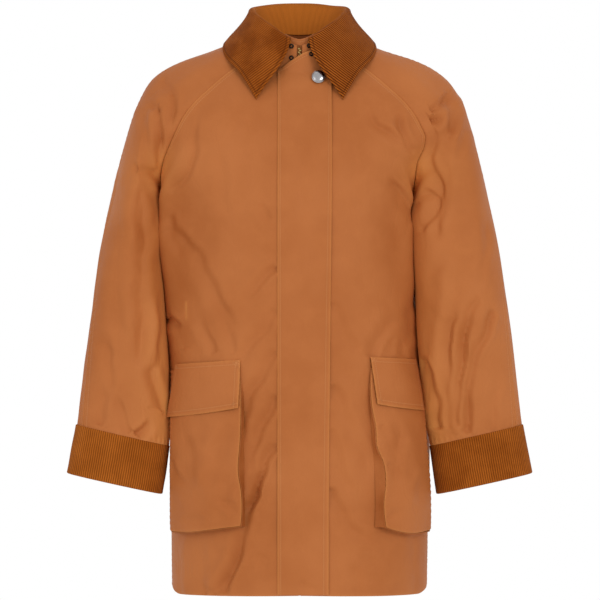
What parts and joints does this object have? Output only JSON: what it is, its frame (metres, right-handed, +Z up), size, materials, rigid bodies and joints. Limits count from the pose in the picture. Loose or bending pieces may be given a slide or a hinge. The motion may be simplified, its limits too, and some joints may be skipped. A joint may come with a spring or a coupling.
{
  "type": "coat",
  "caption": "Thigh-length raglan coat filled out as it is worn: turned-down corduroy collar, corduroy cuffs, storm flap snapped over a closed zip, bellows pockets with flaps.",
  "frame": {"origin": "the middle of the neck opening, level with the point where the coat's neck seam crosses the shoulder, where the wearer's neck and shoulders carry it", "axes": "+Z up, -Y towards the coat's front, +X towards the wearer's left"},
  "size_m": [0.6786, 0.2967, 0.8734],
  "materials": {
    "coat_cotton": "close-woven cotton, slightly waxed",
    "corduroy": "ribbed pile",
    "zip_tape": "woven tape",
    "brass": "satin",
    "nickel": "polished nickel",
    "dark_metal": "blackened"
  },
  "bodies": {
    "root": {"front_left": "coat_cotton", "front_right": "coat_cotton", "back": "coat_cotton", "sleeve_front_left": "coat_cotton", "sleeve_front_right": "coat_cotton", "sleeve_back_left": "coat_cotton", "sleeve_back_right": "coat_cotton", "collar_band": "coat_cotton", "neck_facing": "coat_cotton", "storm_flap": "coat_cotton", "zip_guard": "coat_cotton", "pocket_bag_left": "coat_cotton", "pocket_bag_right": "coat_cotton", "pocket_gusset_left": "coat_cotton", "pocket_gusset_right": "coat_cotton", "pocket_flap_left": "coat_cotton", "pocket_flap_right": "coat_cotton", "collar": "corduroy", "cuff_left": "corduroy", "cuff_right": "corduroy", "zip_tape_left": "zip_tape", "zip_tape_right": "zip_tape", "zip_slider": "brass", "snap_cap": "nickel", "neck_snap_left_upper": "dark_metal", "neck_snap_left_lower": "dark_metal", "neck_snap_right_upper": "dark_metal", "neck_snap_right_lower": "dark_metal"}
  },
  "joints": []
}
